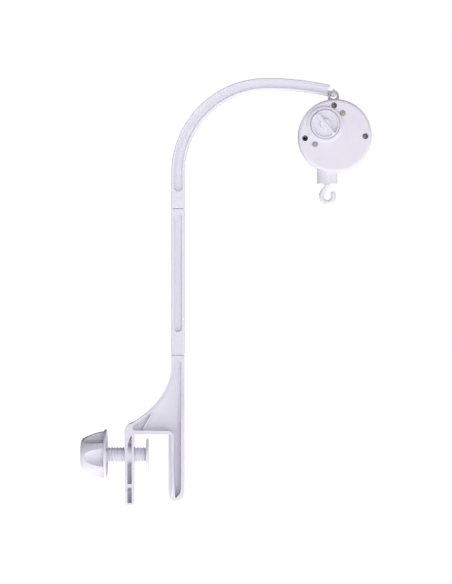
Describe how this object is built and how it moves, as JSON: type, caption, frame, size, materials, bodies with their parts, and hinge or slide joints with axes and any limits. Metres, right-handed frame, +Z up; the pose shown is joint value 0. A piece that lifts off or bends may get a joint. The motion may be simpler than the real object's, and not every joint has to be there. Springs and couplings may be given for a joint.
{
  "type": "crib mobile",
  "caption": "Rail-clamped curved arm that holds a wind-up music box with a winding key and a turning hook to hang a mobile from.",
  "frame": {"origin": "middle of the clamp's rail seat, the underside of the bracket between its jaws", "axes": "+Z up along the post, +X from the clamp knob towards the music box, +Y away from the winding key's side"},
  "size_m": [0.4038, 0.07, 0.592],
  "materials": {
    "white_plastic": "satin-gloss moulded white with a cool cast",
    "natural_plastic": "satin warm grey nylon",
    "screw_steel": "plated",
    "plate_steel": "plated, satin",
    "spring_steel": "blued, satin",
    "brass": "satin"
  },
  "bodies": {
    "clamp": {"clamp_bracket": "white_plastic", "middle_post": "white_plastic", "curved_arm": "white_plastic"},
    "pressure_pad": {"pressure_disc": "white_plastic"},
    "clamp_screw": {"clamp_knob": "white_plastic", "clamp_spindle": "white_plastic", "disc_retaining_screw": "screw_steel"},
    "music_box": {"rear_cover": "white_plastic", "front_cover": "white_plastic", "hanging_eyelet": "natural_plastic", "case_screw_1": "screw_steel", "case_screw_2": "screw_steel", "case_screw_3": "screw_steel", "movement_screw_1": "screw_steel", "movement_screw_2": "screw_steel", "hook_bush": "natural_plastic", "movement_bedplate": "plate_steel", "cylinder_bracket_near": "plate_steel", "cylinder_bracket_far": "plate_steel", "click_spring": "spring_steel", "comb_base": "plate_steel", "tone_comb": "spring_steel", "comb_screw_1": "screw_steel", "comb_screw_2": "screw_steel"},
    "key": {"winding_key": "white_plastic", "spring_arbor": "screw_steel", "ratchet_wheel": "screw_steel"},
    "barrel": {"spring_barrel": "brass", "barrel_lid": "brass", "mainspring": "spring_steel"},
    "cylinder": {"tone_cylinder": "brass", "cylinder_arbor": "screw_steel", "cylinder_pinion": "brass", "cylinder_gear": "brass"},
    "governor_wheel": {"governor_pinion_arbor": "brass", "governor_crown_wheel": "brass"},
    "fly": {"governor_fly": "screw_steel"},
    "hook": {"swivel_hook": "white_plastic", "hook_shaft": "screw_steel", "hook_pinion": "brass"}
  },
  "joints": [
    {"name": "jaw_slide", "type": "slide", "parent": "clamp", "child": "pressure_pad", "axis": [1, 0, 0], "range_m": [-0.01601, 0.02401]},
    {"name": "knob_turn", "type": "hinge", "parent": "pressure_pad", "child": "clamp_screw", "pos_m": [-0.05, 0, -0.0289], "axis": [1, 0, 0], "range_deg": [-1440, 2160]},
    {"name": "box_swing", "type": "hinge", "parent": "clamp", "child": "music_box", "pos_m": [0.2523, 0, 0.4713], "axis": [0, 1, 0], "range_deg": [-20, 14]},
    {"name": "key_turn", "type": "hinge", "parent": "music_box", "child": "key", "pos_m": [0.2399, 0, 0.4288], "axis": [0, 1, 0], "continuous": true},
    {"name": "hook_spin", "type": "hinge", "parent": "music_box", "child": "hook", "pos_m": [0.2434, 0, 0.35], "axis": [0, 0, 1], "continuous": true},
    {"name": "barrel_turn", "type": "hinge", "parent": "music_box", "child": "barrel", "pos_m": [0.2399, 0, 0.4288], "axis": [0, 1, 0], "continuous": true},
    {"name": "cylinder_turn", "type": "hinge", "parent": "music_box", "child": "cylinder", "pos_m": [0.2399, -0.0028, 0.4288], "axis": [0.866, 0, -0.5], "continuous": true},
    {"name": "governor_turn", "type": "hinge", "parent": "music_box", "child": "governor_wheel", "pos_m": [0.2347, -0.0028, 0.41979], "axis": [0.866, 0, -0.5], "continuous": true},
    {"name": "fly_spin", "type": "hinge", "parent": "music_box", "child": "fly", "pos_m": [0.27956, 0, 0.39389], "axis": [0, 1, 0], "continuous": true}
  ],
  "couplings": [
    {"joint": "jaw_slide", "follows": "knob_turn", "m_per_rad": 0.00063662},
    {"joint": "hook_spin", "follows": "cylinder_turn", "ratio": -0.53333},
    {"joint": "barrel_turn", "follows": "cylinder_turn", "ratio": 0.2},
    {"joint": "governor_turn", "follows": "cylinder_turn", "ratio": -3},
    {"joint": "fly_spin", "follows": "cylinder_turn", "ratio": 7.2}
  ]
}
